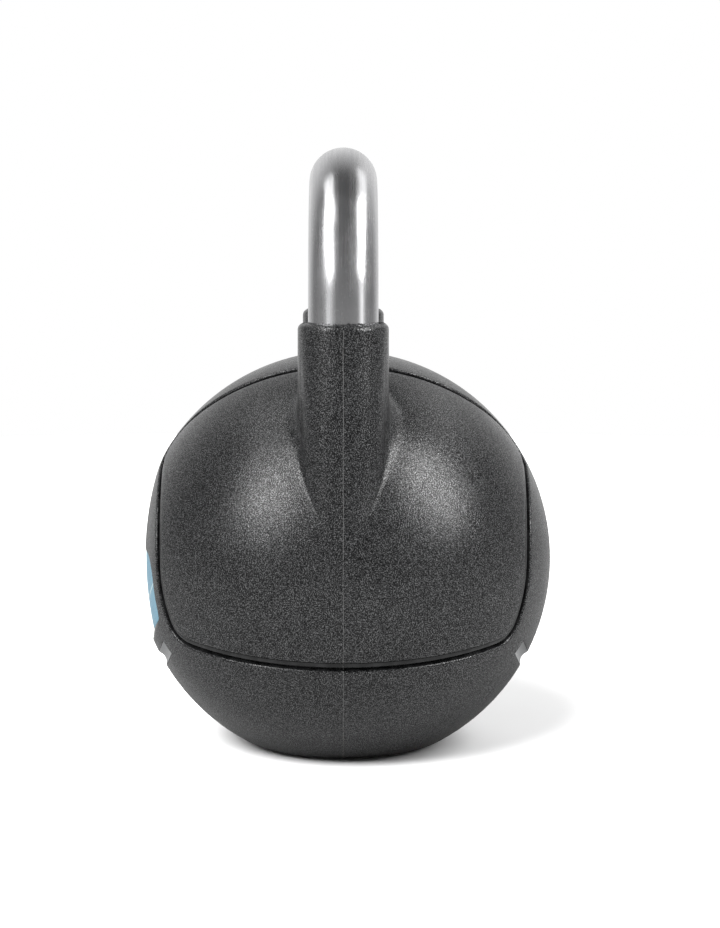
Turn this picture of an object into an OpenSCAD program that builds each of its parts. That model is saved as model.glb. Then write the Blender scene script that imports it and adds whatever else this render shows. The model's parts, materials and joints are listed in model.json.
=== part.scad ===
// Kettlebell with a rubber-covered ball and a bent steel handle.
// The origin is the centre of the flat base, +Z is up, the handle spans X,
// and the badge faces -Y.

/* [Ball] */
// Outside diameter of the rubber-covered ball
ball_d = 208; // [204:1:212]
// Height of the ball's centre above the floor
ball_h = 94; // [93:0.5:96]
// Radius that rounds the ball into its flat base
base_round = 30; // [26:1:32]
// Thickness of the rubber over the iron
jacket_t = 6; // [5.5:0.5:6.5]

/* [Handle] */
// Diameter of the steel bar
bar_d = 33; // [31:0.5:34]
// Distance between the axes of the two legs
leg_span = 144; // [140:1:146]
// Radius of the bends, measured on the bar's centreline
bend_r = 60; // [52:1:64]
// Height of the top of the bar above the floor
handle_top = 298.5; // [290:0.5:306]
// Depth of each leg's socket in the iron, from the ball's surface on the leg's axis
socket_depth = 62; // [54:1:66]
// Chamfer on the hidden ends of the bar
leg_chamfer = 2; // [1:0.5:3]
// Diameter of the pins that lock the legs in the iron
pin_d = 10; // [8:1:12]
// Height of the lock pins above the floor
pin_h = 115; // [112:1:118]
// How far the lock pins reach past the bar's inner side
pin_reach = 10; // [6:1:14]

/* [Collars] */
// Outside diameter of the rubber collars
collar_d = 43.4; // [41:0.2:46]
// Height of the collars' rims above the floor
collar_top = 215.7; // [212:0.1:220]
// Radius of the collars' rounded shoulders
collar_round = 2.5; // [1.5:0.5:4]

/* [Side panels] */
// Radius of the arch that the panels leave free on the front and back
arch_r = 56; // [54:1:58]
// Angle by which the panels' upright edges spread towards the floor
side_tilt = 8; // [6:1:10]
// Distance of the panels' lower edge below the ball's centre, on the ball's axis
lower_drop = 18.3; // [16:0.1:20]
// Slope of the panels' lower edge
lower_slope = 10; // [8:1:12]
// Radius of the panels' lower corners
corner_r = 7.5; // [6:0.5:9]
// Radius of the panels' noses, beside the neck between them
nose_r = 12; // [11:0.5:13]
// Slope of the neck's edges as seen from the front
neck_slope = 53; // [51:1:55]
// Half the width of the neck, two thirds of the way up the ball
neck_half_w = 16.3; // [16:0.1:18]
// Width of the groove round the panels
groove_w = 4.6; // [4:0.1:5]
// Width of the shallow ledge in the groove, next to the panel
ledge_w = 2.6; // [2:0.1:3]
// Depth of the ledge
ledge_depth = 1.4; // [1:0.1:1.8]
// Depth of the groove beside the ledge
groove_depth = 3; // [2.5:0.1:3.5]

/* [Front face] */
// Radius of curvature of the flattened front face
face_curve = 160; // [150:5:180]
// How far the front face is flattened in its middle
face_depth = 4; // [3.6:0.1:4.2]
// Radius of the front face's lower edge
face_edge_r = 94; // [90:1:100]
// Distance of the front face's lower edge below the ball's centre
face_drop = 39.5; // [38.5:0.5:40.5]
// Distance between the badge and the edge of the side panels
badge_margin = 11; // [9:0.5:13]
// Distance between the badge and the front face's lower edge
badge_gap = 1.2; // [0.8:0.1:3]
// Height of the badge's top edge above the ball's centre
badge_top = 7; // [4:0.5:10]
// Radius of the badge's corners
badge_round = 5; // [3:0.5:6]
// Thickness of the badge
badge_t = 1; // [0.6:0.1:1.2]

/* [Stripes] */
// Radius of the stripes' curve, along their middle
stripe_curve = 87.3; // [85:0.1:90]
// Distance of the stripes' middle below the ball's centre
stripe_drop = 50.3; // [50:0.1:51]
// Width of the stripes
stripe_w = 6.5; // [5:0.5:7]
// Half of the angle that a stripe covers on its curve
stripe_half_angle = 31; // [26:1:32]
// Depth of the slot that holds a stripe
slot_depth = 2.8; // [2.4:0.1:3.2]
// Thickness of a stripe
stripe_t = 1.3; // [1:0.1:1.5]

/* [Hidden] */
$fn = 96;

clear = 8;                                  // how far a cutting shape runs past what it cuts
ball_r = ball_d / 2;
core_r = ball_r - jacket_t;
bar_r = bar_d / 2;
leg_x = leg_span / 2;
bend_h = handle_top - bar_r - bend_r;       // where the legs start to bend
surface_h = ball_h + sqrt(ball_r * ball_r - leg_x * leg_x);
socket_h = surface_h - socket_depth;        // the bottom of the sockets

// The base rounding is an arc that touches the ball and the floor.
flat_r = sqrt(pow(ball_r - base_round, 2) - pow(ball_h - base_round, 2));
round_top = ball_h - ball_r * (ball_h - base_round) / (ball_r - base_round);

// The side panels' outline, as seen from the front and measured from the ball's centre.
arch_c = [0, -2];
side_n = [cos(side_tilt), sin(side_tilt)];
lower_n = [-sin(lower_slope), -cos(lower_slope)];
neck_u = [cos(neck_slope), sin(neck_slope)];
neck_n = [sin(neck_slope), -cos(neck_slope)];
neck_p = [neck_half_w, 73.4];
corner_c = meet(arch_c + (arch_r + corner_r) * side_n, turned(side_n),
                [0, -lower_drop] - corner_r * lower_n, turned(lower_n));
nose_c = on_circle(neck_p + nose_r * neck_n, -neck_u, arch_c, arch_r + nose_r);

// The badge follows the panels' upright edges and the lower edge of the front face.
face_edge_c = [0, face_edge_r - face_drop];
badge_side = arch_r - badge_margin;
badge_foot_r = face_edge_r - badge_gap;

function turned(v) = [-v[1], v[0]];

// Where the line through p along u meets the line through q along v.
function meet(p, u, q, v) = p + u * (cross(q - p, v) / cross(u, v));

// Where the line through p, followed along the unit vector u, first meets a circle.
function on_circle(p, u, c, r) =
    let (along = (c - p) * u, off = norm(c - p - along * u))
    p + u * (along - sqrt(r * r - off * off));

// Points on an arc about c, from angle a0 to angle a1 in the given number of steps.
function arc(c, r, a0, a1, steps) =
    [for (i = [0:steps]) let (a = a0 + (a1 - a0) * i / steps) c + r * [cos(a), sin(a)]];

module both_sides() {
    for (s = [0, 1]) mirror([s, 0, 0]) children();
}

// Extrudes an outline in X and Z, measured from the ball's centre, right through the ball.
module through_ball() {
    translate([0, 0, ball_h])
        rotate([90, 0, 0])
            linear_extrude(ball_d + 2 * clear, center = true) children();
}

// The same, but only through the front half of the ball.
module into_front() {
    translate([0, 0, ball_h])
        rotate([90, 0, 0])
            linear_extrude(ball_r + clear) children();
}

module ball(r) {
    translate([0, 0, ball_h]) sphere(r);
}

module shell(depth) {
    difference() {
        ball(ball_r + clear);
        ball(ball_r - depth);
    }
}

// The ball with its flat base, rounded where the two meet.
module outer_ball() {
    rotate_extrude() {
        intersection() {
            translate([0, ball_h]) circle(ball_r);
            translate([0, round_top]) square([ball_d, ball_d]);
        }
        square([flat_r, round_top]);
        intersection() {
            translate([flat_r, base_round]) circle(base_round);
            translate([flat_r, 0]) square([base_round, round_top]);
        }
    }
}

// The iron without its sockets and pin holes.
module core_blank() {
    intersection() {
        ball(core_r);
        translate([-ball_r, -ball_r, jacket_t]) cube(ball_d + clear);
    }
}

module collar() {
    shoulder_h = collar_top - collar_round;
    translate([leg_x, 0, ball_h]) cylinder(h = shoulder_h - ball_h, d = collar_d);
    translate([leg_x, 0, 0]) rotate_extrude() {
        translate([0, shoulder_h]) square([collar_d / 2 - collar_round, collar_round]);
        intersection() {
            translate([collar_d / 2 - collar_round, shoulder_h]) circle(collar_round);
            translate([collar_d / 2 - collar_round, shoulder_h]) square(collar_round);
        }
    }
}

// A leg of the handle, up to where it bends.
module leg() {
    translate([leg_x, 0, socket_h]) {
        cylinder(h = leg_chamfer, r1 = bar_r - leg_chamfer, r2 = bar_r);
        translate([0, 0, leg_chamfer]) cylinder(h = bend_h - socket_h - leg_chamfer, r = bar_r);
    }
}

module socket() {
    translate([leg_x, 0, socket_h]) cylinder(h = collar_top + clear - socket_h, r = bar_r);
}

// A pin along X, flush with the iron's surface.
module pin() {
    intersection() {
        translate([leg_x - bar_r - pin_reach, 0, pin_h])
            rotate([0, 90, 0]) cylinder(h = core_r, d = pin_d);
        ball(core_r);
    }
}

// A side panel's outline, grown outwards by d: the lower edge, the round lower corner, the arch,
// the round nose and the neck's edge. The far ends lie outside the ball.
module panel_outline(d) {
    neck_a = neck_slope - 90;
    nose_a = atan2(nose_c[1] - arch_c[1], nose_c[0] - arch_c[0]);
    polygon(concat(
        [corner_c + (corner_r + d) * lower_n + ball_d * turned(lower_n)],
        arc(corner_c, corner_r + d, -90 - lower_slope, side_tilt - 180, 6),
        arc(arch_c, arch_r - d, side_tilt, nose_a, 10),
        arc(nose_c, nose_r + d, nose_a + 180, neck_a + 180, 9),
        [nose_c - (nose_r + d) * neck_n + ball_d * neck_u]));
}

// The ring between two outlines, cut to a depth in the ball's surface.
module ring_cut(inner, outer, depth) {
    intersection() {
        through_ball() difference() {
            panel_outline(outer);
            panel_outline(inner);
        }
        shell(depth);
    }
}

module groove() {
    ring_cut(0, groove_w, ledge_depth);
    ring_cut(ledge_w, groove_w, groove_depth);
}

// The body that the front face is cut to: a big sphere whose front pole is the middle of the face.
module face_body(depth) {
    translate([0, face_curve - ball_r + depth, ball_h]) sphere(face_curve);
}

module front_face_cut() {
    difference() {
        into_front() translate(face_edge_c) circle(face_edge_r);
        face_body(face_depth);
    }
}

// The badge's outline: a straight top, spreading sides and a lower edge curved like the face's.
module badge_outline() {
    r = badge_round;
    top_c = meet([0, badge_top - r], [1, 0], arch_c + (badge_side - r) * side_n, turned(side_n));
    foot_c = on_circle(arch_c + (badge_side - r) * side_n, turned(side_n),
                       face_edge_c, badge_foot_r - r);
    foot_a = atan2(foot_c[1] - face_edge_c[1], foot_c[0] - face_edge_c[0]);
    half = concat(
        arc(face_edge_c, badge_foot_r, -90, foot_a, 8),
        arc(foot_c, r, foot_a, side_tilt, 5),
        arc(top_c, r, side_tilt, 90, 5));
    polygon(concat(half, [for (i = [len(half) - 1:-1:1]) [-half[i][0], half[i][1]]]));
}

// The pocket that the badge sits in, open to the front.
module badge_pocket() {
    difference() {
        into_front() badge_outline();
        intersection() {
            ball(ball_r - badge_t);
            face_body(face_depth + badge_t);
        }
    }
}

module badge() {
    intersection() {
        badge_pocket();
        ball(ball_r);
        face_body(face_depth);
    }
}

// A stripe's outline: part of a ring about a point above the ball's centre.
module stripe_outline() {
    reach = 2 * stripe_curve;
    translate([0, stripe_curve - stripe_drop]) intersection() {
        difference() {
            circle(stripe_curve + stripe_w / 2);
            circle(stripe_curve - stripe_w / 2);
        }
        polygon([[0, 0], reach * [-sin(stripe_half_angle), -cos(stripe_half_angle)],
                 reach * [sin(stripe_half_angle), -cos(stripe_half_angle)]]);
    }
}

module slot() {
    intersection() {
        into_front() stripe_outline();
        shell(slot_depth);
    }
}

module stripe() {
    intersection() {
        into_front() stripe_outline();
        shell(slot_depth);
        ball(ball_r - slot_depth + stripe_t);
    }
}

module rubber_jacket() {
    color("#3d3e40") difference() {
        union() {
            outer_ball();
            both_sides() collar();
        }
        core_blank();
        both_sides() socket();
        both_sides() groove();
        front_face_cut();
        badge_pocket();
        slot();
        mirror([0, 1, 0]) slot();
    }
}

module iron_core() {
    color("#55504c") difference() {
        core_blank();
        both_sides() socket();
        both_sides() pin();
    }
}

module handle_bar() {
    color("#c4c6c8") difference() {
        union() {
            both_sides() {
                leg();
                translate([leg_x - bend_r, 0, bend_h])
                    rotate([90, 0, 0]) rotate_extrude(angle = 90) translate([bend_r, 0]) circle(bar_r);
            }
            translate([bend_r - leg_x, 0, bend_h + bend_r])
                rotate([0, 90, 0]) cylinder(h = leg_span - 2 * bend_r, r = bar_r);
        }
        both_sides() pin();
    }
}

module lock_pin() {
    color("#8e9093") pin();
}

module front_badge() {
    color("#7cc3dc") badge();
}

module plain_stripe() {
    color("#b9bbbd") stripe();
}

rubber_jacket();
iron_core();
handle_bar();
mirror([1, 0, 0]) lock_pin();  // lock_pin_left
lock_pin();  // lock_pin_right
front_badge();
plain_stripe();  // front_stripe
mirror([0, 1, 0]) plain_stripe();  // back_stripe
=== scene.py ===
import json
import bmesh
import bpy
import numpy as np
from mathutils import Matrix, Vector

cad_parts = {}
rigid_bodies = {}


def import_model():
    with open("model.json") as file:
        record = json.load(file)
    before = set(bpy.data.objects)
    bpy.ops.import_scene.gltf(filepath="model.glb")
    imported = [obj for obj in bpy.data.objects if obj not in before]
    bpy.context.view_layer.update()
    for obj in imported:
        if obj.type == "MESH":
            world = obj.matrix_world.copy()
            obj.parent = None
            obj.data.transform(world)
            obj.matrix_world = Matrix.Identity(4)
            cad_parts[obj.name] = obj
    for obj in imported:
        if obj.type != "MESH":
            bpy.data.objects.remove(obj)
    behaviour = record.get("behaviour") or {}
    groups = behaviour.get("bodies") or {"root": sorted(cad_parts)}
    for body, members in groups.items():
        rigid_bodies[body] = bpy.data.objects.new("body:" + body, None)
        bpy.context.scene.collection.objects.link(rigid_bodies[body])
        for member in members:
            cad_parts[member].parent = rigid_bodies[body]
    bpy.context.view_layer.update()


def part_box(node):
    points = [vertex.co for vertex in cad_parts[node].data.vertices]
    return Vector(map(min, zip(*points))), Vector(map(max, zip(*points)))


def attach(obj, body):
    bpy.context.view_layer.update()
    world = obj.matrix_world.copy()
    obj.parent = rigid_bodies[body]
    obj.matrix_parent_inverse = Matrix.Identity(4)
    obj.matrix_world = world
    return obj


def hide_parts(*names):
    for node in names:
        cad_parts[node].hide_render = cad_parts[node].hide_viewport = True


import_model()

# Kettlebell: rubber jacket over an iron ball, bent steel handle, blue badge, grey stripes.
# Shapes are worked out in millimetres and put into the meshes in metres.
mm = 0.001


# sizes that the frame gives

def cadBox(node):
    low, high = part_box(node)
    return np.array(low) / mm, np.array(high) / mm


handleLow, handleHigh = cadBox("handle_bar")
coreLow, coreHigh = cadBox("iron_core")
jacketLow, jacketHigh = cadBox("rubber_jacket")
barR = handleHigh[1]
legX = handleHigh[0] - barR
coreR = coreHigh[1]
ballMid = np.array([0.0, 0.0, coreHigh[2] - coreR])
jacketT = coreLow[2] - jacketLow[2]
ballR = coreR + jacketT
print("frame: ball radius %.1f mm, bar radius %.1f mm, legs at %.1f mm" % (ballR, barR, legX))


# small tools for whole arrays of points

def unit(v):
    return v / np.linalg.norm(v, axis=-1, keepdims=True)


def turn(degrees):  # unit vector in a plane at an angle from its first axis
    a = np.radians(degrees)
    return np.stack([np.cos(a), np.sin(a)], axis=-1)


def blend(a, b, t):
    return a + (b - a) * t


def smoothStep(x, low, high):
    t = np.clip((x - low) / (high - low), 0, 1)
    return t * t * (3 - 2 * t)


def greatArc(start, end, part):
    # point at a share of the way along the great circle between two directions:
    # (sin((1-s)w) a + sin(s w) b) / sin w, with w the angle between a and b
    w = np.arccos(np.clip(np.sum(start * end, axis=-1), -1, 1))[None, :, None]
    s = part[:, None, None]
    return (np.sin((1 - s) * w) * start[None] + np.sin(s * w) * end[None]) / np.sin(w)


def ripple(x, seed, count=5, lowest=1.0, highest=9.0):
    # sum of a few seeded sine waves, about -1 to 1
    rng = np.random.default_rng(seed)
    waves = rng.uniform(lowest, highest, count)
    phases = rng.uniform(0, 2 * np.pi, count)
    return sum(np.sin(np.round(f) * x + p) for f, p in zip(waves, phases)) / np.sqrt(count)


# meshes from grids

def gridQuads(rows, cols):
    # quad i,j joins rows i and i+1, columns j and j+1; the columns close on themselves
    i = np.arange(rows - 1)[:, None]
    j = np.arange(cols)[None, :]
    k = (j + 1) % cols
    return np.stack([i * cols + j, i * cols + k, (i + 1) * cols + k, (i + 1) * cols + j],
                    axis=-1).reshape(-1, 4)


def makePiece(name, points, quads, materials, slots=None, attributes=None):
    # whole arrays go into the mesh, then doubles at poles and seams are merged
    mesh = bpy.data.meshes.new(name)
    mesh.vertices.add(len(points))
    mesh.vertices.foreach_set("co", (points * mm).astype(np.float32).ravel())
    mesh.loops.add(quads.size)
    mesh.loops.foreach_set("vertex_index", quads.astype(np.int32).ravel())
    mesh.polygons.add(len(quads))
    mesh.polygons.foreach_set("loop_start", np.arange(0, quads.size, 4, dtype=np.int32))
    for material in materials:
        mesh.materials.append(material)
    if slots is not None:
        mesh.polygons.foreach_set("material_index", slots.astype(np.int32))
    for key, values in (attributes or {}).items():
        layer = mesh.attributes.new(key, "FLOAT_VECTOR", "POINT")
        layer.data.foreach_set("vector", values.astype(np.float32).ravel())
    mesh.update(calc_edges=True)
    mesh.validate()
    piece = bpy.data.objects.new(name, mesh)
    bpy.context.scene.collection.objects.link(piece)
    tidyMesh(piece)
    return piece


def tidyMesh(piece, near=1e-6):
    work = bmesh.new()
    work.from_mesh(piece.data)
    bmesh.ops.remove_doubles(work, verts=work.verts, dist=near)
    bmesh.ops.dissolve_degenerate(work, edges=work.edges, dist=near / 10)
    bmesh.ops.recalc_face_normals(work, faces=work.faces)
    work.to_mesh(piece.data)
    work.free()


def smoothShade(piece, sharpAngle=38):
    mesh = piece.data
    mesh.polygons.foreach_set("use_smooth", np.ones(len(mesh.polygons), dtype=bool))
    mesh.set_sharp_from_angle(angle=np.radians(sharpAngle))


def cutWith(piece, other, operation="DIFFERENCE"):
    # exact cut or join of two closed meshes, applied at once
    tool = piece.modifiers.new("cut", "BOOLEAN")
    tool.operation = operation
    tool.solver = "MANIFOLD"
    tool.material_mode = "TRANSFER"
    tool.object = other
    bpy.context.view_layer.update()
    graph = bpy.context.evaluated_depsgraph_get()
    made = bpy.data.meshes.new_from_object(piece.evaluated_get(graph))
    old, name = piece.data, piece.data.name
    piece.modifiers.clear()
    piece.data = made
    bpy.data.meshes.remove(old)
    made.name = name
    gone = other.data
    bpy.data.objects.remove(other)
    bpy.data.meshes.remove(gone)


def loftSolid(name, rings, materials, attributes=None):
    # rings of equal length joined in order; the first and last shrink to a point
    rows, cols = rings.shape[:2]
    return makePiece(name, rings.reshape(-1, 3), gridQuads(rows, cols), materials, None, attributes)


# materials

def startMaterial(name, colour, roughness, metallic=0.0):
    material = bpy.data.materials.new(name)
    material.use_nodes = True
    tree = material.node_tree
    shader = tree.nodes["Principled BSDF"]
    shader.inputs["Base Color"].default_value = (*colour, 1)
    shader.inputs["Roughness"].default_value = roughness
    shader.inputs["Metallic"].default_value = metallic
    return material, tree, shader


def addNode(tree, kind, links=None, values=None, **settings):
    node = tree.nodes.new(kind)
    for key, value in settings.items():
        setattr(node, key, value)
    for key, value in (values or {}).items():
        node.inputs[key].default_value = value
    for key, socket in (links or {}).items():
        tree.links.new(socket, node.inputs[key])
    return node


def noiseAt(tree, vector, scale, detail=3.0, roughness=0.5):
    return addNode(tree, "ShaderNodeTexNoise", {"Vector": vector},
                   {"Scale": scale, "Detail": detail, "Roughness": roughness}).outputs["Fac"]


def spread(tree, value, low, high, toLow, toHigh):
    # maps low..high to toLow..toHigh, held at the ends
    return addNode(tree, "ShaderNodeMapRange", {"Value": value},
                   {"From Min": low, "From Max": high, "To Min": toLow, "To Max": toHigh}).outputs["Result"]


def sumOf(tree, a, b, kind="ADD"):
    node = tree.nodes.new("ShaderNodeMath")
    node.operation = kind
    for k, term in enumerate((a, b)):
        if isinstance(term, (int, float)):
            node.inputs[k].default_value = term
        else:
            tree.links.new(term, node.inputs[k])
    return node.outputs[0]


def mixColour(tree, factor, a, b):
    node = tree.nodes.new("ShaderNodeMix")
    node.data_type = "RGBA"
    if isinstance(factor, (int, float)):
        node.inputs["Factor"].default_value = factor
    else:
        tree.links.new(factor, node.inputs["Factor"])
    for key, term in (("A", a), ("B", b)):
        socket = [s for s in node.inputs if s.name == key and s.type == "RGBA"][0]
        if isinstance(term, tuple):
            socket.default_value = (*term, 1)
        else:
            tree.links.new(term, socket)
    return [s for s in node.outputs if s.type == "RGBA"][0]


rubberLook = dict(colour=(0.004, 0.0042, 0.0046), worn=(0.17, 0.172, 0.176), rough=(0.24, 0.36),
                  patches=28.0, patchShare=0.03, edgeShare=0.22,
                  pebble=1600.0, pebbleFine=3400.0, fineShare=0.35, pebbleHeight=0.00009,
                  speckle=2100.0, paleSpecksAndGlints=(0.50, 0.74), glossSpecks=(0.42, 0.72), gloss=(0.22, 1.3),
                  smoothRough=(0.18, 0.28), smoothGrain=160.0, smoothHeight=0.0001, smoothStrength=0.25,
                  smoothSpecks=(0.4, 0.8), smoothShare=0.2)


def rubberMaterial(name, grain):
    # pebbled rubber: bump = fine noise - distance to the pebbles' middles, with glossy specks and pale
    # specks that are partly painted glints. Smooth rubber is shinier and has a weak bump. Both are paler in
    # patches and on edges
    look = rubberLook
    material, tree, shader = startMaterial(name, look["colour"], look["rough"][0])
    place = addNode(tree, "ShaderNodeTexCoord").outputs["Object"]
    patches = noiseAt(tree, place, look["patches"], 4.0, 0.6)
    worn = addNode(tree, "ShaderNodeNewGeometry").outputs["Pointiness"]
    edge = spread(tree, worn, 0.53, 0.62, 0.0, look["edgeShare"])
    if grain:
        cells = addNode(tree, "ShaderNodeTexVoronoi", {"Vector": place},
                        {"Scale": look["pebble"], "Smoothness": 0.6, "Randomness": 1.0},
                        feature="SMOOTH_F1").outputs["Distance"]
        fine = sumOf(tree, noiseAt(tree, place, look["pebbleFine"], 2.0), look["fineShare"], "MULTIPLY")
        bump = addNode(tree, "ShaderNodeBump", {"Height": sumOf(tree, fine, cells, "SUBTRACT")},
                       {"Strength": 1.0, "Distance": look["pebbleHeight"]})
        speck = noiseAt(tree, place, look["speckle"], 1.0)
        # pale specks in the colour: partly pale grain and dust, partly painted glints of the pebbles
        tops = spread(tree, speck, *look["paleSpecksAndGlints"], 0.0, 1.0)
        gloss = spread(tree, speck, *look["glossSpecks"], *look["gloss"])
        tree.links.new(gloss, shader.inputs["Specular IOR Level"])
        rough = spread(tree, patches, 0.3, 0.7, *look["rough"])
    else:
        fine = noiseAt(tree, place, look["smoothGrain"], 3.0)
        bump = addNode(tree, "ShaderNodeBump", {"Height": fine},
                       {"Strength": look["smoothStrength"], "Distance": look["smoothHeight"]})
        tops = spread(tree, fine, *look["smoothSpecks"], 0.0, look["smoothShare"])
        rough = spread(tree, patches, 0.3, 0.7, *look["smoothRough"])
    tree.links.new(bump.outputs["Normal"], shader.inputs["Normal"])
    tree.links.new(rough, shader.inputs["Roughness"])
    tone = mixColour(tree, spread(tree, patches, 0.3, 0.7, 0.0, look["patchShare"]),
                     look["colour"], look["worn"])
    tone = mixColour(tree, tops, tone, look["worn"])
    tone = mixColour(tree, edge, tone, look["worn"])
    tree.links.new(tone, shader.inputs["Base Color"])
    return material


steelLook = dict(colour=(0.60, 0.60, 0.61), dark=(0.44, 0.44, 0.45), scuffed=(0.85, 0.85, 0.86),
                 rough=0.22, streaks=420.0, stretch=0.03, darkShare=0.5, clouds=45.0,
                 scuffs=900.0, scuffShare=0.6, grooveStrength=0.12, grooveHeight=0.00012, drawn=0.45)


def steelMaterial():
    # satin steel in the bar's own space: streaks drawn out along it, cloudy gloss, small scuffs
    look = steelLook
    material, tree, shader = startMaterial("satinSteel", look["colour"], look["rough"], 1.0)
    along = addNode(tree, "ShaderNodeAttribute", attribute_name="barSpace").outputs["Vector"]
    drawn = addNode(tree, "ShaderNodeMapping", {"Vector": along},
                    {"Scale": (1.0, 1.0, look["stretch"])}).outputs["Vector"]
    streak = noiseAt(tree, drawn, look["streaks"], 5.0, 0.65)
    cloud = noiseAt(tree, along, look["clouds"], 4.0, 0.55)
    speck = noiseAt(tree, along, look["scuffs"], 2.0)
    marks = spread(tree, speck, 0.66, 0.74, 0.0, look["scuffShare"])
    rough = spread(tree, streak, 0.3, 0.7, look["rough"] - 0.06, look["rough"] + 0.08)
    rough = sumOf(tree, rough, spread(tree, cloud, 0.35, 0.7, -0.02, 0.06))
    tree.links.new(rough, shader.inputs["Roughness"])
    darker = spread(tree, streak, 0.35, 0.75, 0.0, look["darkShare"])
    tone = mixColour(tree, marks, mixColour(tree, darker, look["colour"], look["dark"]), look["scuffed"])
    tree.links.new(tone, shader.inputs["Base Color"])
    bump = addNode(tree, "ShaderNodeBump", {"Height": streak},
                   {"Strength": look["grooveStrength"], "Distance": look["grooveHeight"]})
    tree.links.new(bump.outputs["Normal"], shader.inputs["Normal"])
    shader.inputs["Anisotropic"].default_value = look["drawn"]
    return material


paintLook = dict(clouds=70.0, cloudShare=0.6, grain=1500.0, edgeShare=0.5, bumpStrength=0.2,
                 bumpHeight=0.00008)


def paintMaterial(name, colour, shade, rough, line=None):
    # satin inlay; a badge also gets one pale line, an arc about a point above it
    material, tree, shader = startMaterial(name, colour, rough)
    place = addNode(tree, "ShaderNodeTexCoord").outputs["Object"]
    cloud = noiseAt(tree, place, paintLook["clouds"], 4.0, 0.6)
    fine = noiseAt(tree, place, paintLook["grain"], 3.0)
    tone = mixColour(tree, spread(tree, cloud, 0.3, 0.7, 0.0, paintLook["cloudShare"]), colour, shade)
    if line:
        axis = addNode(tree, "ShaderNodeMapping", {"Vector": place},
                       {"Location": (0.0, 0.0, -line["height"] * mm), "Scale": (1.0, 0.0, 1.0)})
        away = addNode(tree, "ShaderNodeVectorMath", {0: axis.outputs["Vector"]}, operation="LENGTH")
        off = sumOf(tree, away.outputs["Value"], -line["radius"] * mm)
        off = addNode(tree, "ShaderNodeMath", {0: off}, operation="ABSOLUTE").outputs[0]
        half = line["width"] * mm / 2
        inLine = spread(tree, off, half * 0.85, half * 1.1, 1.0, 0.0)
        tone = mixColour(tree, inLine, tone, line["colour"])
    worn = addNode(tree, "ShaderNodeNewGeometry").outputs["Pointiness"]
    tone = mixColour(tree, spread(tree, worn, 0.53, 0.62, 0.0, paintLook["edgeShare"]), tone, shade)
    tree.links.new(tone, shader.inputs["Base Color"])
    tree.links.new(spread(tree, fine, 0.3, 0.7, rough - 0.06, rough + 0.08), shader.inputs["Roughness"])
    bump = addNode(tree, "ShaderNodeBump", {"Height": fine},
                   {"Strength": paintLook["bumpStrength"], "Distance": paintLook["bumpHeight"]})
    tree.links.new(bump.outputs["Normal"], shader.inputs["Normal"])
    return material


castLook = dict(shade=0.6, rust=(0.9, 0.65, 0.5), rustPatches=30.0, rustShare=0.5,
                bumpStrength=0.5, bumpHeight=0.0003)


def castMaterial(name, colour, rough, metallic, size):
    # raw castings and turned pins: speckled tone, uneven roughness, sandy bump
    material, tree, shader = startMaterial(name, colour, rough, metallic)
    place = addNode(tree, "ShaderNodeTexCoord").outputs["Object"]
    sand = noiseAt(tree, place, size, 5.0, 0.7)
    rust = noiseAt(tree, place, castLook["rustPatches"], 4.0, 0.6)
    darker = tuple(c * castLook["shade"] for c in colour)
    brown = tuple(c * r for c, r in zip(colour, castLook["rust"]))
    tone = mixColour(tree, spread(tree, sand, 0.35, 0.7, 0.0, 1.0), colour, darker)
    tone = mixColour(tree, spread(tree, rust, 0.55, 0.75, 0.0, castLook["rustShare"]), tone, brown)
    tree.links.new(tone, shader.inputs["Base Color"])
    tree.links.new(spread(tree, sand, 0.3, 0.7, rough - 0.1, rough + 0.1), shader.inputs["Roughness"])
    bump = addNode(tree, "ShaderNodeBump", {"Height": sand},
                   {"Strength": castLook["bumpStrength"], "Distance": castLook["bumpHeight"]})
    tree.links.new(bump.outputs["Normal"], shader.inputs["Normal"])
    return material


grainRubber = rubberMaterial("grainRubber", True)
smoothRubber = rubberMaterial("smoothRubber", False)
# the flash ridge is painted pale grey: a painted highlight standing in for the light line the thin ridge
# catches
flashPaintedHighlight = castMaterial("flashPaintedHighlight", (0.20, 0.20, 0.20), 0.5, 0.0, 700.0)
satinSteel = steelMaterial()
print("materials: rubber and steel made")


# the ball's outer surface

ball = dict(baseRound=30.0,                     # rounds the ball into its flat base
            faceCurve=160.0, faceDepth=4.6,     # the flattened front face
            faceBlend=1.6, faceEdgeR=94.0, faceDrop=39.5,
            stepFrom=-7.0, stepTo=-2.5, stepOut=12.0)  # where the face ends, round the badge
faceEdgeMid = np.array([0.0, ball["faceEdgeR"] - ball["faceDrop"]])


def reachOf(directions, wholeFace=False):
    # distance from the ball's centre to its surface along each direction: the ball, or the arc
    # that rounds the base, or the base, or the flatter front face, whichever is nearest
    out = np.hypot(directions[..., 0], directions[..., 1])
    down = -directions[..., 2]
    height, curve = ballMid[2], ball["baseRound"]
    flatR = np.sqrt((ballR - curve) ** 2 - (height - curve) ** 2)
    angle = np.arctan2(out, down)
    along = out * flatR + down * (height - curve)
    rounded = along + np.sqrt(np.maximum(along ** 2 - flatR ** 2 - (height - curve) ** 2 + curve ** 2, 0))
    flat = height / np.maximum(down, 0.2)
    reach = np.where(angle < np.arctan2(flatR, height), flat,
                     np.where(angle < np.arctan2(flatR, height - curve), rounded, ballR))
    back = ball["faceCurve"] - ballR + ball["faceDepth"]
    front = directions[..., 1] * back
    face = front + np.sqrt(front ** 2 - back ** 2 + ball["faceCurve"] ** 2)
    if not wholeFace:  # under the badge the face steps back out to the ball
        fromMid = np.hypot(directions[..., 0] * ballR, directions[..., 2] * ballR - faceEdgeMid[1])
        past = smoothStep(fromMid - ball["faceEdgeR"], ball["stepFrom"], ball["stepTo"])
        face = face + ball["stepOut"] * past
    gap = np.clip(0.5 + 0.5 * (face - reach) / ball["faceBlend"], 0, 1)
    return blend(face, reach, gap) - ball["faceBlend"] * gap * (1 - gap)


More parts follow.
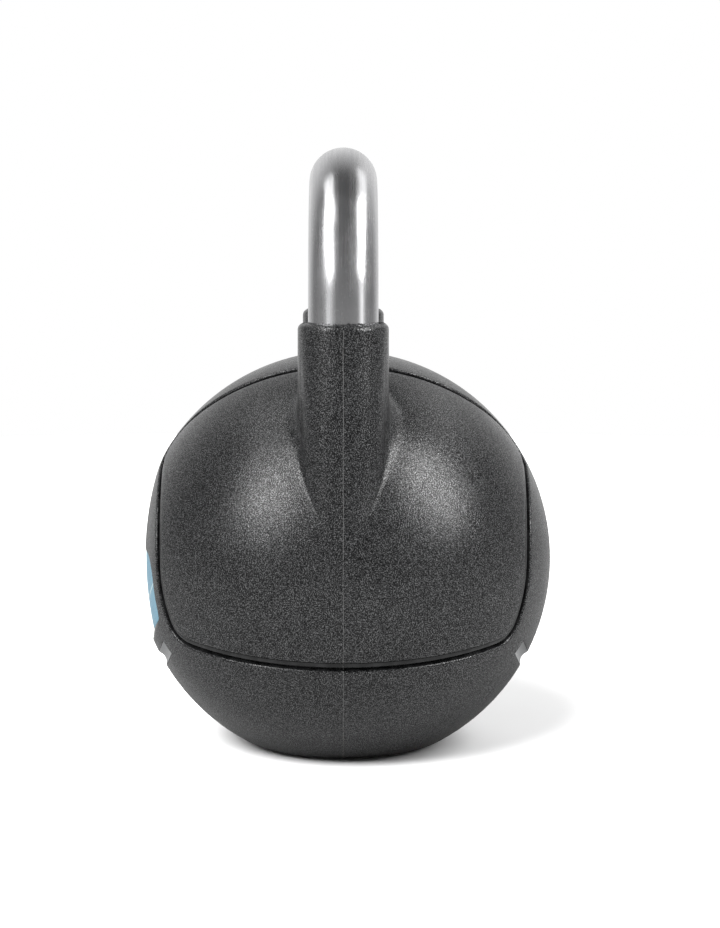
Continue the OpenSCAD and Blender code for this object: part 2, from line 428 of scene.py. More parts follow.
def onFront(flat, depth):
    # flat x and z measured from the ball's centre, thrown forwards onto the ball, then to a depth
    x, z = flat[..., 0], flat[..., 1]
    way = unit(np.stack([x, -np.sqrt(np.maximum(ballR ** 2 - x ** 2 - z ** 2, 1)), z], axis=-1))
    return ballMid + way * (reachOf(way, True) - depth)[..., None]


# rubber jacket

jacket = dict(
    archMid=-2.0, archR=56.0, sideTilt=8.0,          # arch left free on the front and back
    lowerDrop=18.3, lowerSlope=10.0, cornerR=7.5,    # lower edge of the side panels
    noseR=12.0, neckSlope=53.0, neckX=16.3, neckZ=73.4,
    steps=dict(lower=44, corner=9, side=14, arch=26, nose=15, neck=32),
    collarR=21.4, shoulder=3.1, rimIn=0.7,
    wallGap=0.8,                                     # from the shoulder down to the slanted wall
    flareR=30.3, pinch=3.4, pinchAt=55.0, pinchWide=32.0,  # where the collar's foot meets the ball
    fillet=12.5, filletGrowth=12.0, filletShare=0.985,
    ragged=0.38, raggedWaves=dict(seed=4, count=14, lowest=3, highest=70),
    panelRows=26, bandRows=32, shoulderRows=9, wallRows=16, flareRows=11, holeRows=5, insideRows=9)

# distance outside the panel's edge and depth below the ball: rounded panel edge, smooth ledge,
# deeper channel, rounded band edge
grooveProfile = np.array([
    (-3.2, 0.0), (-1.6, 0.0), (-0.8, 0.015), (-0.42, 0.07), (-0.2, 0.19), (-0.06, 0.4), (-0.01, 0.8),
    (0.0, 1.3), (0.05, 1.75), (0.2, 1.9), (0.36, 1.75), (0.48, 1.3), (0.62, 1.0), (0.9, 0.9),
    (1.5, 0.88), (2.2, 0.9), (2.45, 0.96), (2.58, 1.2), (2.68, 2.0), (2.8, 2.8), (3.1, 3.05), (3.6, 3.1),
    (4.15, 3.0), (4.35, 2.5), (4.42, 1.6), (4.5, 0.85), (4.62, 0.42), (4.85, 0.16), (5.2, 0.04),
    (5.8, 0.0), (7.0, 0.0)])
smoothFrom, smoothTo = -0.02, 4.5      # no grain between these distances

# the collar's lip round the bar: distance from the bar, height above the rim, share of its raggedness
lipProfile = np.array([(0.0, -jacket["rimIn"] - 0.5, 0.0), (0.02, -jacket["rimIn"], 0.7),
                       (0.12, -0.35, 1.1), (0.42, -0.1, 1.1), (0.95, 0.0, 0.95)])


def meetLines(p, u, q, v):
    cross = u[0] * v[1] - u[1] * v[0]
    return p + u * (((q - p)[0] * v[1] - (q - p)[1] * v[0]) / cross)


def panelOutline(grow):
    # the side panel's edge grown by some distances, as points on the ball from the lowest one
    # round the back half to the one on the crown: flat cut, corner arc, straight side, arch,
    # nose arc, flat cut. A flat cut is a small circle: c + r cos(t) u, with y = r sin(t)
    j, steps = jacket, jacket["steps"]
    grow = np.asarray(grow, dtype=float)[:, None]
    archMid = np.array([0.0, j["archMid"]])
    sideN, lowerN = turn(j["sideTilt"]), turn(-90 - j["lowerSlope"])
    lowerU, neckU = turn(-j["lowerSlope"]), turn(j["neckSlope"])
    neckN = turn(j["neckSlope"] + 90)
    cornerMid = meetLines(archMid + (j["archR"] + j["cornerR"]) * sideN, turn(j["sideTilt"] + 90),
                          np.array([0.0, -j["lowerDrop"]]) - j["cornerR"] * lowerN, lowerU)
    start = np.array([j["neckX"], j["neckZ"]]) - j["noseR"] * neckN
    along = np.dot(archMid - start, neckU)
    off = np.linalg.norm(archMid - start - along * neckU)
    noseMid = start + neckU * (along + np.sqrt((j["archR"] + j["noseR"]) ** 2 - off ** 2))
    noseAngle = np.degrees(np.arctan2(*(noseMid - archMid)[::-1]))

    def share(count):
        return np.linspace(0, 1, count + 1)[None, :]

    def flatCut(normal, u, distance, touch, part):
        away = distance + grow
        radius = np.sqrt(ballR ** 2 - away ** 2)
        t = np.arccos(np.clip(np.dot(touch, u) / radius, -1, 1)) * part
        x = away * normal[0] + radius * np.cos(t) * u[0]
        z = away * normal[1] + radius * np.cos(t) * u[1]
        return x, z

    def roundPart(mid, radius, a, b, part):
        angle = np.radians(blend(a, b, part)) + 0 * radius
        return mid[0] + radius * np.cos(angle), mid[1] + radius * np.sin(angle)

    foot = cornerMid - (j["cornerR"] + grow)[..., None] * sideN
    top = archMid + (j["archR"] - grow)[..., None] * sideN
    side = blend(foot, top, share(steps["side"])[..., None])
    parts = [
        flatCut(lowerN, lowerU, j["lowerDrop"] * np.cos(np.radians(j["lowerSlope"])), cornerMid,
                share(steps["lower"])),
        roundPart(cornerMid, j["cornerR"] + grow, -90 - j["lowerSlope"], j["sideTilt"] - 180,
                  share(steps["corner"])),
        (side[..., 0], side[..., 1]),
        roundPart(archMid, j["archR"] - grow, j["sideTilt"], noseAngle, share(steps["arch"])),
        roundPart(noseMid, j["noseR"] + grow, noseAngle + 180, j["neckSlope"] + 90, share(steps["nose"])),
        flatCut(neckN, neckU, np.dot([j["neckX"], j["neckZ"]], neckN), noseMid,
                1 - share(steps["neck"]))]
    x = np.concatenate([p[0][:, (0 if k == 0 else 1):] for k, p in enumerate(parts)], axis=1)
    z = np.concatenate([p[1][:, (0 if k == 0 else 1):] for k, p in enumerate(parts)], axis=1)
    y = np.sqrt(np.maximum(ballR ** 2 - x ** 2 - z ** 2, 0))
    y[:, 0] = y[:, -1] = 0
    half = np.stack([x, y, z], axis=-1)
    other = half[:, -2:0:-1] * np.array([1, -1, 1])
    return unit(np.concatenate([half, other], axis=1))


def collarSection(phi):
    # the collar in the upright half-plane at angle phi about the leg: distance from the leg's
    # axis and height. The ball's section there is a circle of radius S = sqrt(R^2 - (d sin(phi))^2)
    # about m = -d cos(phi). The fillet, of radius f, touches it at a distance e from the axis, and
    # the wall is the line from below the shoulder, at w, that touches the fillet:
    # its slope is angle(C - A) + arccos(f / |C - A|), with C the fillet's centre and A the line's top.
    # Where the ball rises too steeply f is held under (e - w) S / (S - e + m). The foot is pinched
    # towards the front, e = E - p exp(-((|phi| - at) / wide)^2), and f grows with 1 - cos(phi)
    j = jacket
    top = jacketHigh[2]
    turned = np.degrees(np.abs(np.arctan2(np.sin(phi), np.cos(phi))))
    e = j["flareR"] - j["pinch"] * np.exp(-((turned - j["pinchAt"]) / j["pinchWide"]) ** 2)
    sectionR = np.sqrt(ballR ** 2 - (legX * np.sin(phi)) ** 2)
    sectionMid = -legX * np.cos(phi)
    steepest = (e - j["collarR"]) * sectionR / (sectionR - e + sectionMid)
    fillet = j["fillet"] + j["filletGrowth"] * (1 - np.cos(phi))
    fillet = np.minimum(fillet, j["filletShare"] * steepest)
    grown = (sectionR + fillet) / sectionR
    mid = sectionMid + (e - sectionMid) * grown
    midZ = ballMid[2] + np.sqrt(sectionR ** 2 - (e - sectionMid) ** 2) * grown
    lineTop = top - j["shoulder"] - j["wallGap"]
    run, drop = mid - j["collarR"], midZ - lineTop
    slope = np.arctan2(drop, run) + np.arccos(fillet / np.hypot(run, drop))
    end = 2 * np.pi + np.arctan2(ballMid[2] - midZ, sectionMid - mid)
    part = np.linspace(0, 1, j["flareRows"])[:, None]
    angle = blend(np.pi + slope, end, part)
    foot = np.stack([mid + fillet * np.cos(angle), midZ + fillet * np.sin(angle)], axis=-1)

    uneven = j["ragged"] * ripple(phi, **j["raggedWaves"])
    shoulderMid = np.array([j["collarR"] - j["shoulder"], top - j["shoulder"]])
    bend = np.radians(np.linspace(90, 0, j["shoulderRows"]))[:, None]
    shoulder = shoulderMid + j["shoulder"] * np.stack([np.cos(bend), np.sin(bend)], axis=-1)
    shoulder = np.repeat(shoulder, len(phi), axis=1)
    fading = np.clip(0.8 - np.arange(j["shoulderRows"]) * 0.22, 0, 1)[:, None]
    shoulder[..., 1] += uneven * fading
    down = np.linspace(0, 1, j["wallRows"])[:-1, None]
    wall = np.stack([blend(j["collarR"], foot[0, :, 0], down), blend(lineTop, foot[0, :, 1], down)],
                    axis=-1)
    lip = np.stack([barR + lipProfile[:, :1] + 0 * phi,
                    top + lipProfile[:, 1:2] + uneven * lipProfile[:, 2:]], axis=-1)
    return np.concatenate([lip, shoulder, wall, foot])


def inSpace(section, phi):
    # a section's distance and height turned to angle phi about the leg's axis
    reach, height = section[..., 0], section[..., 1]
    return np.stack([legX + reach * np.cos(phi), reach * np.sin(phi), height], axis=-1)


def halfJacket():
    # one grid for the half with x above 0: columns run from the middle plane inside, up the leg's
    # hole, over the collar, down to the panel, across the groove and over the band to the middle
    j = jacket
    groove = panelOutline(grooveProfile[:, 0])
    edge = groove[0]
    tilt = np.arcsin(legX / ballR)
    legWay = np.array([np.sin(tilt), 0, np.cos(tilt)])
    outward = np.array([np.cos(tilt), 0, -np.sin(tilt)])
    sideways = np.array([0, 1.0, 0])

    def bearing(ways):
        return np.unwrap(np.arctan2(ways @ sideways, ways @ outward))

    table = np.linspace(-0.3, 2 * np.pi + 0.3, 4000)
    footWays = unit(inSpace(collarSection(table)[-1], table) - ballMid)
    seen = bearing(footWays)
    seen = seen - 2 * np.pi * np.round((seen[0] - table[0]) / (2 * np.pi))
    want = bearing(edge)
    want = want - want[0]
    phi = np.interp(want, seen, table)

    section = collarSection(phi)
    collar = inSpace(section, phi)
    foot = unit(collar[-1] - ballMid)
    inner = np.linspace(0, 1, j["panelRows"] + 1)[1:-1]
    panel = greatArc(foot, edge, inner)
    # where each column's great circle, straight on from the leg, meets the middle plane
    last = groove[-1]
    a = bearing(last)
    down = np.arctan2(np.tan(tilt), -np.cos(a))
    middle = (np.cos(down)[:, None] * legWay
              + np.sin(down)[:, None] * (np.cos(a)[:, None] * outward + np.sin(a)[:, None] * sideways))
    middle[:, 0] = 0
    middle = unit(middle)
    band = greatArc(last, middle, np.linspace(0, 1, j["bandRows"] + 1)[1:])
    ways = np.concatenate([panel, groove, band])
    depth = np.concatenate([np.zeros(len(panel)), grooveProfile[:, 1], np.zeros(len(band))])
    skin = ballMid + ways * (reachOf(ways) - depth[:, None])[..., None]

    # the inside: the leg's hole, then the iron's surface to the middle plane
    holeWay = np.stack([legX + barR * np.cos(phi), barR * np.sin(phi)], axis=-1)
    holeFoot = np.sqrt(coreR ** 2 - holeWay[:, 0] ** 2 - holeWay[:, 1] ** 2) + ballMid[2]
    up = np.linspace(0, 1, j["holeRows"] + 1)[:, None]
    holeHeight = blend(holeFoot, collar[0, :, 2], up)[:-1]
    hole = np.stack([np.broadcast_to(holeWay[:, 0], holeHeight.shape),
                     np.broadcast_to(holeWay[:, 1], holeHeight.shape), holeHeight], axis=-1)
    inWays = greatArc(middle, unit(hole[0] - ballMid), np.linspace(0, 1, j["insideRows"] + 1)[:-1])
    inReach = np.minimum(coreR, (ballMid[2] - jacketT) / np.maximum(-inWays[..., 2], 1e-3))
    inside = ballMid + inWays * inReach[..., None]
    rows = np.concatenate([inside, hole, collar, skin])
    smooth = np.zeros(len(rows), dtype=int)
    grooveStart = len(rows) - len(band) - len(groove)
    inGroove = (grooveProfile[:, 0] >= smoothFrom) & (grooveProfile[:, 0] < smoothTo)
    smooth[grooveStart:grooveStart + len(groove)] = inGroove
    smooth[:len(inside) + len(hole)] = 1
    return rows, smooth


def makeJacket():
    rows, smooth = halfJacket()
    count, cols = rows.shape[:2]
    right = rows.reshape(-1, 3)
    left = right * np.array([-1, 1, 1])
    quads = gridQuads(count, cols)
    points = np.concatenate([right, left])
    faces = np.concatenate([quads, quads[:, ::-1] + len(right)])
    slots = np.tile(np.repeat(smooth[:-1], cols), 2)
    return makePiece("rubberJacket", points, faces, [grainRubber, smoothRubber], slots), rows


jacketPiece, jacketRows = makeJacket()
print("jacket: %d faces before cuts" % len(jacketPiece.data.polygons))

# front badge and its pocket

badge = dict(sideX=45.0, top=7.0, footR=90.8, corner=4.5, topCorner=15.0, thick=1.0, sunk=0.5,
             clearance=0.1, middleZ=-14.0,
             steps=dict(foot=33, corner=11, side=13, topCorner=15, top=16),
             # the edge's profile: distance outside the outline and depth under the face
             rim=((0.0, 0.8), (0.0, 0.45), (-0.07, 0.2), (-0.2, 0.07), (-0.45, 0.02)),
             # the rubber bevel under the badge: its width where the ball stands bevelRise or more
             # above the face, then shares of it and heights above the ball for the rows that cut it
             bevel=4.0, bevelRise=1.2, bevelRows=((1.0, 0.02), (1.6, 1.2), (3.5, 6.0)), lid=12.0,
             colour=(0.23, 0.50, 0.66), shade=(0.13, 0.36, 0.52), rough=0.32,
             line=dict(height=ballMid[2] + faceEdgeMid[1], radius=75.0, width=1.2,
                       colour=(0.62, 0.80, 0.86)))


def badgeOutline(grow):
    # half an outline from the foot's middle to the top's middle, mirrored: an arc about the
    # face's edge centre, a round corner, a tilted straight side, a round corner, a level top
    b, j, steps = badge, jacket, badge["steps"]
    archMid = np.array([0.0, j["archMid"]])
    sideN, sideU = turn(j["sideTilt"]), turn(j["sideTilt"] + 90)
    r, topR = b["corner"], b["topCorner"]
    onSide = archMid + (b["sideX"] - r) * sideN
    topMid = meetLines(np.array([0, b["top"] - topR]), np.array([1.0, 0]),
                       archMid + (b["sideX"] - topR) * sideN, sideU)
    toFoot = faceEdgeMid - onSide
    along = np.dot(toFoot, sideU)
    off = np.linalg.norm(toFoot - along * sideU)
    footMid = onSide + sideU * (along - np.sqrt((b["footR"] - r) ** 2 - off ** 2))
    footAngle = np.degrees(np.arctan2(*(footMid - faceEdgeMid)[::-1]))
    r, topR = r + grow, topR + grow
    half = np.concatenate([
        faceEdgeMid + (b["footR"] + grow) * turn(np.linspace(-90, footAngle, steps["foot"])),
        footMid + r * turn(np.linspace(footAngle, j["sideTilt"], steps["corner"])[1:]),
        blend(footMid + r * sideN, topMid + topR * sideN,
              np.linspace(0, 1, steps["side"])[1:-1, None]),
        topMid + topR * turn(np.linspace(j["sideTilt"], 90, steps["topCorner"])),
        blend(topMid + topR * np.array([0, 1]), np.array([0, topMid[1] + topR]),
              np.linspace(0, 1, steps["top"])[1:, None])])
    return np.concatenate([half, half[-2:0:-1] * np.array([-1, 1])])


def filled(outline, shares, middle):
    # the outline shrunk towards a middle point by some shares
    return middle + (outline - middle) * np.asarray(shares)[:, None, None]


def makeBadge():
    b = badge
    middle = np.array([0.0, b["middleZ"]])
    inner = badgeOutline(b["rim"][-1][0])
    bottom = onFront(filled(badgeOutline(-0.3), [0.0, 0.35, 0.7, 1.0], middle), b["sunk"] + b["thick"])
    rim = np.stack([onFront(badgeOutline(g), np.array(b["sunk"] + d)) for g, d in b["rim"]])
    top = onFront(filled(inner, np.linspace(0.97, 0, 14), middle), b["sunk"] + b["rim"][-1][1])
    rings = np.concatenate([bottom, rim, top])
    paint = paintMaterial("badgePaint", b["colour"], b["shade"], b["rough"], b["line"])
    piece = loftSolid("frontBadge", rings, [paint])
    smoothShade(piece, 60)
    return piece


def badgeCutter():
    # pocket floor under the badge, upright wall to the face, bevel out to the ball, then beyond
    b = badge
    middle = np.array([0.0, b["middleZ"]])
    edge = badgeOutline(b["clearance"])
    floor = onFront(filled(edge, [0.0, 0.3, 0.6, 0.85, 1.0], middle), b["sunk"] + b["thick"])
    wall = onFront(edge, np.array(b["sunk"]))
    step = np.linalg.norm(onFront(edge, np.array(0.0)) - ballMid, axis=-1)
    low = np.hypot(edge[:, 0], edge[:, 1] - faceEdgeMid[1]) > b["footR"] - 0.5
    bevel = np.where(low & (edge[:, 1] < 0), np.clip((ballR - step) / b["bevelRise"], 0, 1) * b["bevel"], 0)
    away = unit(edge - faceEdgeMid)
    outer = [wall]
    for share, height in b["bevelRows"]:
        flat = edge + away * (bevel * share)[:, None]
        way = unit(onFront(flat, np.array(0.0)) - ballMid)
        outer.append(ballMid + way * (ballR + height))
    outer = np.stack(outer)
    lid = onFront(filled(flat, [0.8, 0.4, 0.0], middle), -b["lid"])
    return loftSolid("badgeCutter", np.concatenate([floor, outer, lid]), [smoothRubber])


# curved stripes and their slots

stripe = dict(curve=87.3, drop=50.3, width=6.5, halfAngle=31.0, slotDepth=2.8, cove=1.45,
              coveShape=2.2, lip=0.06, clearance=0.08, steps=81,
              colour=(0.38, 0.385, 0.39), shade=(0.25, 0.255, 0.26), rough=0.34)


def onBand(along, across, depth, side):
    # along: angle about the curve's centre from straight down; across: distance from the
    # middle line; then thrown onto the ball and pressed in by a depth
    s = stripe
    radius = s["curve"] + across
    x = radius * np.sin(along)
    z = s["curve"] - s["drop"] - radius * np.cos(along)
    way = unit(np.stack([x, side * np.sqrt(ballR ** 2 - x ** 2 - z ** 2), z], axis=-1))
    return ballMid + way * (reachOf(way) - depth)[..., None]


def stripeSolid(name, across, depth, halfAngle, side, materials):
    # a closed section carried along the curve, with both ends closed to a point
    along = np.linspace(-halfAngle, halfAngle, stripe["steps"])
    along = np.concatenate([along[:1], along, along[-1:]])[:, None]
    shrink = np.ones(len(along))[:, None]
    shrink[0] = shrink[-1] = 0
    centre = depth.mean()
    rings = onBand(along + 0 * across, across * shrink, centre + (depth - centre) * shrink, side)
    return loftSolid(name, rings, materials)


def makeStripe(name, side, paint):
    # hollowed top: depth = lip + cove (1 - |t|^shape) for t from -1 to 1 across, over a plain bar
    s = stripe
    half = s["width"] / 2
    t = np.linspace(-1, 1, 23)
    top = s["lip"] + s["cove"] * (1 - np.abs(t) ** s["coveShape"])
    across = np.concatenate([t * (half - 0.12), [half - 0.03, half, half, half - 0.15],
                             [0.0, -half + 0.15, -half, -half, -half + 0.03]])
    depth = np.concatenate([top, [s["lip"] + 0.03, s["lip"] + 0.15, s["slotDepth"] - 0.15, s["slotDepth"]],
                            [s["slotDepth"]] * 2, [s["slotDepth"] - 0.15, s["lip"] + 0.15, s["lip"] + 0.03]])
    piece = stripeSolid(name, across, depth, np.radians(s["halfAngle"]), side, [paint])
    smoothShade(piece, 40)
    return piece


def slotCutter(side):
    # the stripe's section with clearance, its mouth rounded off, carried on past the surface
    s = stripe
    half = s["width"] / 2 + s["clearance"]
    edge = np.radians(s["halfAngle"]) + s["clearance"] / s["curve"]
    across = np.array([-half, 0.0, half, half + 0.02, half + 0.12, half + 0.35, half + 0.9,
                       0.0, -half - 0.9, -half - 0.35, -half - 0.12, -half - 0.02])
    depth = np.array([s["slotDepth"]] * 3 + [0.35, 0.12, 0.0, -1.5, -1.5, -1.5, 0.0, 0.12, 0.35])
    return stripeSolid("slotCutter", across, depth, edge, side, [smoothRubber])


# moulding flash: a thin uneven ridge where the mould's halves met

flash = dict(width=0.32, height=0.15, root=0.45, step=0.4, edge=0.03, wander=0.12,
             floorGap=1.5, seed=11)             # it stops short of the floor


def flashRidge(name, path, seed):
    # a low roof carried along the jacket's section in the plane y = 0:
    # across +-width/2, height h(s) = height * (uneven sum of waves, cut off below)
    f = flash
    length = np.concatenate([[0], np.cumsum(np.linalg.norm(np.diff(path, axis=0), axis=1))])
    s = np.arange(0, length[-1], f["step"])
    line = np.stack([np.interp(s, length, path[:, k]) for k in range(3)], axis=-1)
    ahead = np.gradient(line, axis=0)
    out = unit(np.stack([ahead[:, 2], 0 * s, -ahead[:, 0]], axis=-1))
    out = out * np.sign(np.sum(out * (line - ballMid), axis=-1).mean())
    high = f["height"] * np.clip(0.25 + 0.75 * ripple(s / 9, seed, 7, 3, 34), 0.0, 1.2)
    wander = f["wander"] * ripple(s / 30, seed + 1, 4, 2, 9)
    across = np.array([-0.5, -0.22, 0.0, 0.26, 0.5, 0.5, -0.5]) * f["width"]
    edge, root = 0 * s - f["edge"], 0 * s - f["root"]
    lift = np.stack([edge, high * 0.8, high, high * 0.6, edge, root, root], axis=1)
    side = np.array([0, 1.0, 0])
    rings = (line[:, None] + out[:, None] * lift[..., None]
             + side * (across[None, :] + wander[:, None])[..., None])
    middle = rings.mean(axis=1, keepdims=True) + 0 * rings
    rings = np.concatenate([middle[:1], rings, middle[-1:]])
    return loftSolid(name, rings, [flashPaintedHighlight])


def finishJacket(piece, rows):
    # flash along the four sections in the plane y = 0, from the foot of the shoulder down, then
    # the badge's pocket and the stripes' slots
    j = jacket
    first = j["insideRows"] + j["holeRows"] + len(lipProfile) + j["shoulderRows"] - 2
    outside = rows[first:, 0]
    inside = rows[first:, rows.shape[1] // 2]
    mirror = np.array([-1, 1, 1])
    for k, path in enumerate((outside, outside * mirror, inside, inside * mirror)):
        keep = path[path[:, 2] > flash["floorGap"]]
        cutWith(piece, flashRidge("flash", keep, flash["seed"] + 3 * k), "UNION")
    cutWith(piece, badgeCutter())
    for side in (-1, 1):
        cutWith(piece, slotCutter(side))
    tidyMesh(piece)
    smoothShade(piece, 42)


finishJacket(jacketPiece, jacketRows)
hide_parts("rubber_jacket")
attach(jacketPiece, "root")
print("jacket: %d faces after cuts" % len(jacketPiece.data.polygons))

badgePiece = makeBadge()
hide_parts("front_badge")
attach(badgePiece, "root")
stripePaint = paintMaterial("stripePaint", stripe["colour"], stripe["shade"], stripe["rough"])
for pieceName, node, side in (("frontStripe", "front_stripe", -1), ("backStripe", "back_stripe", 1)):
    piece = makeStripe(pieceName, side, stripePaint)
    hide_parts(node)
    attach(piece, "root")
print("badge and stripes made")


# handle

handle = dict(bendR=60.0, chamfer=2.0, around=112, legSteps=20, bendSteps=44, topSteps=6,
              pinR=5.0, pinHeight=115.0, pinReach=10.0, pinPast=9.0, pinAround=48)


def handlePath():
    # centre line: up the right leg, a quarter circle, the level top, and the same again mirrored
    h = handle
    foot, bendZ = handleLow[2], handleHigh[2] - barR - h["bendR"]
    bendX = legX - h["bendR"]
    leg = np.stack([np.full(h["legSteps"], legX), np.linspace(foot, bendZ, h["legSteps"])], axis=-1)
    quarter = np.array([bendX, bendZ]) + h["bendR"] * turn(np.linspace(0, 90, h["bendSteps"]))
    top = blend(quarter[-1], quarter[-1] * np.array([0, 1]), np.linspace(0, 1, h["topSteps"])[:, None])
    half = np.concatenate([leg, quarter[1:], top[1:]])
    line = np.concatenate([half, half[-2::-1] * np.array([-1, 1])])
    return np.stack([line[:, 0], 0 * line[:, 0], line[:, 1]], axis=-1)


def makeHandle():
    # circle carried along the path: p + r (cos(a) n + sin(a) y), with n in the plane y = 0
    h = handle
    line = handlePath()
    ahead = unit(np.gradient(line, axis=0))
    normal = np.stack([ahead[:, 2], 0 * ahead[:, 0], -ahead[:, 0]], axis=-1)
    travelled = np.concatenate([[0], np.cumsum(np.linalg.norm(np.diff(line, axis=0), axis=1))])
    radius = np.full(len(line), barR)
    # chamfered ends, each closed by a disc of two rings
    firstCuts = line[0] + ahead[0] * np.array([0.0, 0.0, 0.0, h["chamfer"]])[:, None]
    lastCuts = line[-1] - ahead[-1] * np.array([h["chamfer"], 0.0, 0.0, 0.0])[:, None]
    ends = np.array([0.0, 0.5 * barR, barR - h["chamfer"], barR])
    line = np.concatenate([firstCuts, line[1:-1], lastCuts])
    radius = np.concatenate([ends, radius[1:-1], ends[::-1]])
    normal = np.concatenate([normal[:1]] * 4 + [normal[1:-1]] + [normal[-1:]] * 4)
    travelled = np.concatenate([[0, 0, 0, h["chamfer"]], travelled[1:-1],
                                travelled[-1] - np.array([h["chamfer"], 0, 0, 0])])
    a = np.linspace(0, 2 * np.pi, h["around"], endpoint=False)
    side = np.array([0, 1.0, 0])
    ring = np.cos(a)[None, :, None] * normal[:, None] + np.sin(a)[None, :, None] * side
    points = line[:, None] + radius[:, None, None] * ring
    space = np.stack([radius[:, None] * np.cos(a), radius[:, None] * np.sin(a),
                      travelled[:, None] + 0 * a], axis=-1) * mm
    piece = loftSolid("handleBar", points, [satinSteel], {"barSpace": space.reshape(-1, 3)})
    for sign in (-1, 1):
        cutWith(piece, pinCutter(sign))
    tidyMesh(piece)
    smoothShade(piece, 35)
    return piece


def pinCutter(sign):
    # a round hole along x for the lock pin
    h = handle
    a = np.linspace(0, 2 * np.pi, h["pinAround"], endpoint=False)
    start, end = legX - barR - h["pinReach"], legX + barR + h["pinPast"]
    x = sign * np.array([start, start, end, end])
    r = np.array([0.0, h["pinR"], h["pinR"], 0.0])
    rings = np.stack([x[:, None] + 0 * a, r[:, None] * np.cos(a), h["pinHeight"] + r[:, None] * np.sin(a)],
                     axis=-1)
    return loftSolid("pinCutter", rings, [satinSteel])


handlePiece = makeHandle()
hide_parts("handle_bar")
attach(handlePiece, "root")
print("handle: %d faces" % len(handlePiece.data.polygons))


# iron and pins keep their CAD shapes

def dressNode(node, material):
    for obj in bpy.data.objects:
        if obj.type == "MESH" and obj.name.split(".")[0] == node:
            for slot in obj.material_slots:
                slot.material = material


dressNode("iron_core", castMaterial("castIron", (0.10, 0.085, 0.075), 0.62, 0.6, 700.0))
turnedSteel = castMaterial("turnedSteel", (0.38, 0.38, 0.39), 0.36, 1.0, 2200.0)
for node in ("lock_pin_left", "lock_pin_right"):
    dressNode(node, turnedSteel)
print("hidden nodes dressed")


# floor, lights and camera

studio = dict(floorRadius=1.6, paperSeen=0.94, paperBounce=0.27, floorAround=96, lampAim=0.20,
              roomLow=0.26, roomTop=0.10, roomBehind=0.70,
              camera=(1.182, 0.0, 0.2723), pitch=6.33, lens=91.87, shift=0.0180)
softBoxes = (  # name, direction from the point aimed at, distance, width, height, radiance
    ("leftBox", (0.56, -0.62, 0.58), 1.5, 0.50, 1.00, 9.8),
    ("rightBox", (0.39, 0.73, 0.58), 1.5, 0.50, 1.00, 10.8),
    ("leftFill", (-0.05, -0.50, 0.86), 1.5, 1.2, 0.5, 1.7),
    ("rightFill", (-0.30, 0.62, 0.72), 1.5, 1.2, 0.5, 1.2))
barBoxes = (  # the same for the bar alone, each with the way its tall side runs: two long strips
    # that lean back over the object, and the faint lower ends of their bright bands
    ("leftStrip", (0.37, -0.65, 0.66), 1.5, 0.38, 1.50, 9.8, (-0.76, 0.18, 0.51)),
    ("rightStrip", (0.19, 0.78, 0.59), 1.5, 0.40, 1.30, 9.8, (-0.64, -0.22, 0.45)),
    ("leftLow", (0.70, -0.71, 0.03), 1.5, 0.44, 0.60, 1.3, (0.0, 0.0, 1.0)),
    ("rightLow", (0.49, 0.87, 0.04), 1.5, 0.44, 0.60, 1.3, (0.0, 0.0, 1.0)))
paperSuns = (  # name, direction it comes from, strength, angle: they light the paper alone
    ("paperKey", (0.82, -0.56, 1.0), 5.9, 36.0),
    ("paperFill", (-0.40, 0.90, 1.2), 0.8, 60.0))


def makeFloor():
    # a round sheet of paper, radius r: rings of points r (cos a, sin a) from the middle out
    a = np.linspace(0, 2 * np.pi, studio["floorAround"], endpoint=False)
    r = studio["floorRadius"] / mm * np.array([0.0, 0.1, 0.3, 0.6, 1.0])[:, None]
    points = np.stack([r * np.cos(a), r * np.sin(a), 0 * r * a], axis=-1).reshape(-1, 3)
    paper, tree, shader = startMaterial("whitePaper", (studio["paperSeen"],) * 3, 0.9)
    place = addNode(tree, "ShaderNodeTexCoord").outputs["Object"]
    grain = noiseAt(tree, place, 300.0, 3.0)
    bump = addNode(tree, "ShaderNodeBump", {"Height": grain}, {"Strength": 0.05, "Distance": 0.0001})
    tree.links.new(bump.outputs["Normal"], shader.inputs["Normal"])
    seen = addNode(tree, "ShaderNodeLightPath").outputs["Is Camera Ray"]
    tone = mixColour(tree, seen, (studio["paperBounce"],) * 3, (studio["paperSeen"],) * 3)
    tree.links.new(tone, shader.inputs["Base Color"])
    shader.inputs["Specular IOR Level"].default_value = 0.0
    floor = makePiece("studioFloor", points, gridQuads(len(r), len(a)), [paper])
    return floor


def makeWorld():
    # seen as white paper; as light it is a dim room, darkest overhead and bright behind, in -X
    world = bpy.data.worlds.new("studioRoom")
    bpy.context.scene.world = world
    world.use_nodes = True
    tree = world.node_tree
    back = tree.nodes["Background"]
    back.inputs["Color"].default_value = (1, 1, 1, 1)
    way = addNode(tree, "ShaderNodeTexCoord").outputs["Generated"]
    axes = addNode(tree, "ShaderNodeSeparateXYZ", {"Vector": way})
    room = sumOf(tree, spread(tree, axes.outputs["X"], -0.9, -0.4, studio["roomBehind"], 0.0),
                 spread(tree, axes.outputs["Z"], 0.1, 0.9, studio["roomLow"], studio["roomTop"]))
    seen = addNode(tree, "ShaderNodeLightPath").outputs["Is Camera Ray"]
    tree.links.new(sumOf(tree, room, seen, "MAXIMUM"), back.inputs["Strength"])


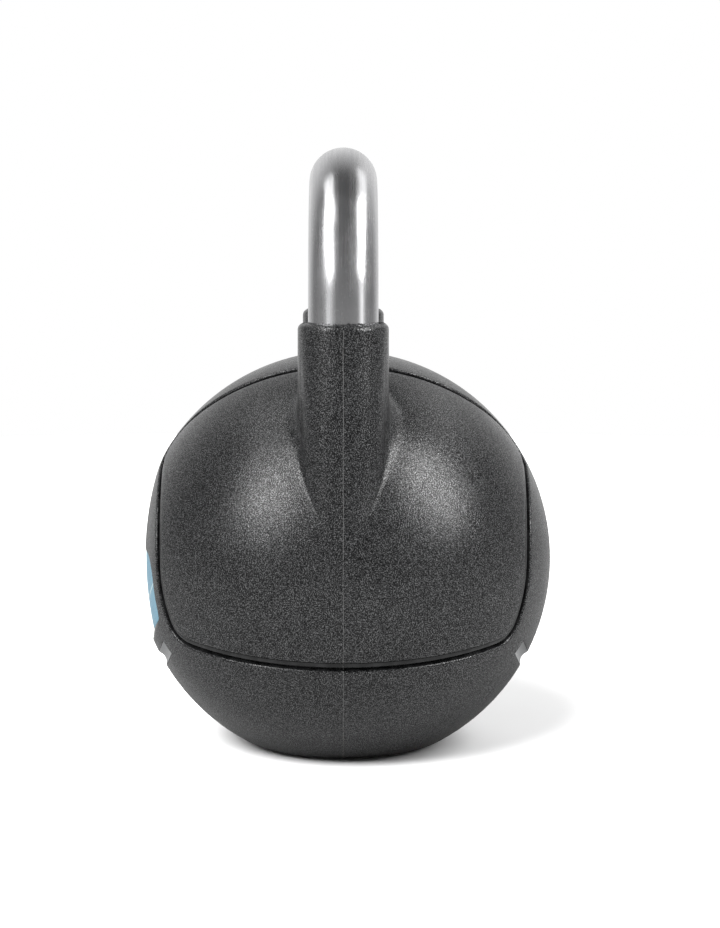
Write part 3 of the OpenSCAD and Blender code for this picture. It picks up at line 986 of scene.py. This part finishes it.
def addLamp(name, kind, place, target, tallWay=(0.0, 0.0, 1.0)):
    # a lamp shines along its own -Z, so +Z is turned away from the target, and +Y along tallWay
    lamp = bpy.data.lights.new(name, kind)
    holder = bpy.data.objects.new(name, lamp)
    aim = unit(np.array(place) - np.array(target))
    wide = unit(np.cross(tallWay, aim))
    holder.location = place
    holder.rotation_euler = Matrix(np.stack([wide, np.cross(aim, wide), aim], axis=-1).tolist()).to_euler()
    bpy.context.scene.collection.objects.link(holder)
    return lamp, holder


def makeLights(floor):
    target = np.array([0, 0, studio["lampAim"]])
    # the bar has strips of its own: it is left out of the two boxes, and alone in the strips' light
    barOnly, notBar = [bpy.data.collections.new(name) for name in ("barOnly", "notBar")]
    for group in (barOnly, notBar):
        group.objects.link(handlePiece)
    for name, way, distance, wide, tall, radiance, *tallWay in softBoxes + barBoxes:
        place = target + unit(np.array(way)) * distance
        lamp, holder = addLamp(name, "AREA", place, target, *tallWay)
        lamp.shape = "RECTANGLE"
        lamp.size, lamp.size_y = wide, tall
        lamp.energy = radiance * np.pi * wide * tall
        if tallWay:
            holder.light_linking.receiver_collection = barOnly
        elif name.endswith("Box"):
            holder.light_linking.receiver_collection = notBar
    notBar.collection_objects[0].light_linking.link_state = "EXCLUDE"
    # wide soft suns for the paper alone, so that it is white and still takes a shadow
    paperOnly = bpy.data.collections.new("paperOnly")
    paperOnly.objects.link(floor)
    for name, way, strength, angle in paperSuns:
        lamp, holder = addLamp(name, "SUN", np.array(way), np.zeros(3))
        lamp.energy, lamp.angle = strength, np.radians(angle)
        holder.light_linking.receiver_collection = paperOnly


def makeCamera():
    lens = bpy.data.cameras.new("camera")
    lens.lens, lens.sensor_width, lens.sensor_fit = studio["lens"], 36.0, "AUTO"
    lens.shift_x = studio["shift"]
    lens.clip_start = 0.05
    holder = bpy.data.objects.new("camera", lens)
    holder.location = studio["camera"]
    holder.rotation_euler = (np.radians(90 - studio["pitch"]), 0, np.radians(90))
    bpy.context.scene.collection.objects.link(holder)
    bpy.context.scene.camera = holder


makeWorld()
makeLights(makeFloor())
makeCamera()
bpy.context.scene.view_settings.view_transform = "Standard"
print("stage, lights and camera set")
